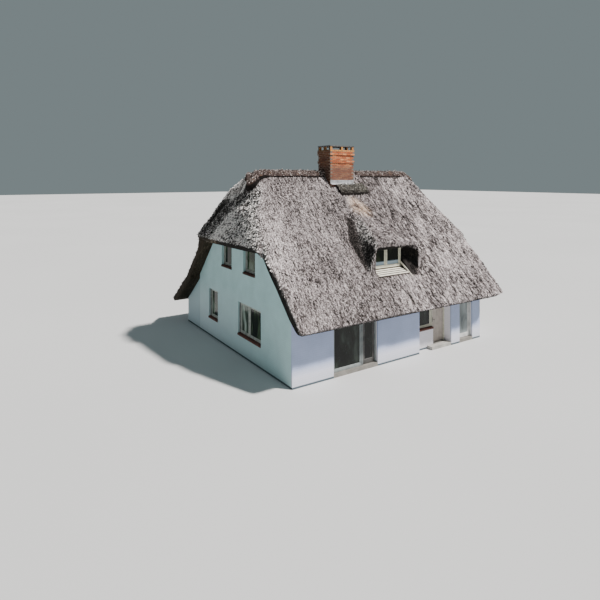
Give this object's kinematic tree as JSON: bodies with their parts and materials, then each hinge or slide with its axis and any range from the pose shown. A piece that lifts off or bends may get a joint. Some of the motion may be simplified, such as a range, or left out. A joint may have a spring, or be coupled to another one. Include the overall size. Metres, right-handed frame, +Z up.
{
  "type": "thatched cottage",
  "caption": "Thatched cottage with a half-hipped reed roof, brick chimney, front and rear dormers, white rendered walls and opening ground-floor doors.",
  "frame": {"origin": "middle of the plan box, on the ground under the walls", "axes": "+X along the ridge towards the right gable seen from the front, +Y from the front to the back, +Z up"},
  "size_m": [12.31, 12.27, 9.4353],
  "materials": {
    "reed": "weathered grey reed thatch",
    "ridge_reed": "weathered ridge reed",
    "mossy_reed": "damp mossy reed",
    "render": "white painted masonry",
    "brick": "orange-red fired brick",
    "stone_slab": "weathered slab",
    "concrete": "rough concrete",
    "lead": "dull lead sheet",
    "timber": "planed boards",
    "painted_wood": "cream white paint",
    "door_wood": "cream painted boards"
  },
  "bodies": {
    "house": {"ground_floor": "concrete", "upper_floor": "timber", "front_wall_left": "render", "front_wall_middle": "render", "front_wall_pier": "render", "front_wall_right": "render", "front_wall_head": "render", "recess_wall": "render", "left_gable_wall": "render", "right_gable_wall": "render", "back_wall": "render", "thatch_front_left": "reed", "thatch_front_right": "reed", "thatch_below_front_dormer": "reed", "front_dormer_hood": "reed", "thatch_back": "reed", "thatch_below_rear_dormer": "reed", "thatch_rear_eave": "reed", "rear_dormer_hood": "reed", "thatch_left_hip": "reed", "thatch_right_hip": "reed", "ridge_cap_left": "ridge_reed", "ridge_cap_right": "ridge_reed", "chimney_stack": "brick", "chimney_cover_slab": "stone_slab", "chimney_flashing": "lead", "chimney_saddle": "mossy_reed", "front_dormer_apron": "painted_wood", "front_dormer_window": "painted_wood", "rear_dormer_window": "painted_wood", "left_gable_large_window": "painted_wood", "left_gable_narrow_window": "painted_wood", "left_gable_upper_window_front": "painted_wood", "left_gable_upper_window_rear": "painted_wood", "right_gable_large_window": "painted_wood", "right_gable_narrow_window": "painted_wood", "right_gable_upper_window_front": "painted_wood", "right_gable_upper_window_rear": "painted_wood", "terrace_frame": "painted_wood", "garden_door_frame": "painted_wood", "entrance_frame": "painted_wood", "entrance_step": "concrete"},
    "entrance_leaf": {"entrance_door": "door_wood"},
    "terrace_leaf": {"terrace_door": "painted_wood"},
    "garden_leaf": {"garden_door": "painted_wood"}
  },
  "joints": [
    {"name": "entrance_door_swing", "type": "hinge", "parent": "house", "child": "entrance_leaf", "pos_m": [3.292, -4.705, 0.164], "axis": [0, 0, -1], "range_deg": [0, 90]},
    {"name": "terrace_door_swing", "type": "hinge", "parent": "house", "child": "terrace_leaf", "pos_m": [-1.328, -5.005, 0.164], "axis": [0, 0, -1], "range_deg": [0, 90]},
    {"name": "garden_door_swing", "type": "hinge", "parent": "house", "child": "garden_leaf", "pos_m": [4.832, -5.005, 0.164], "axis": [0, 0, -1], "range_deg": [0, 90]}
  ]
}
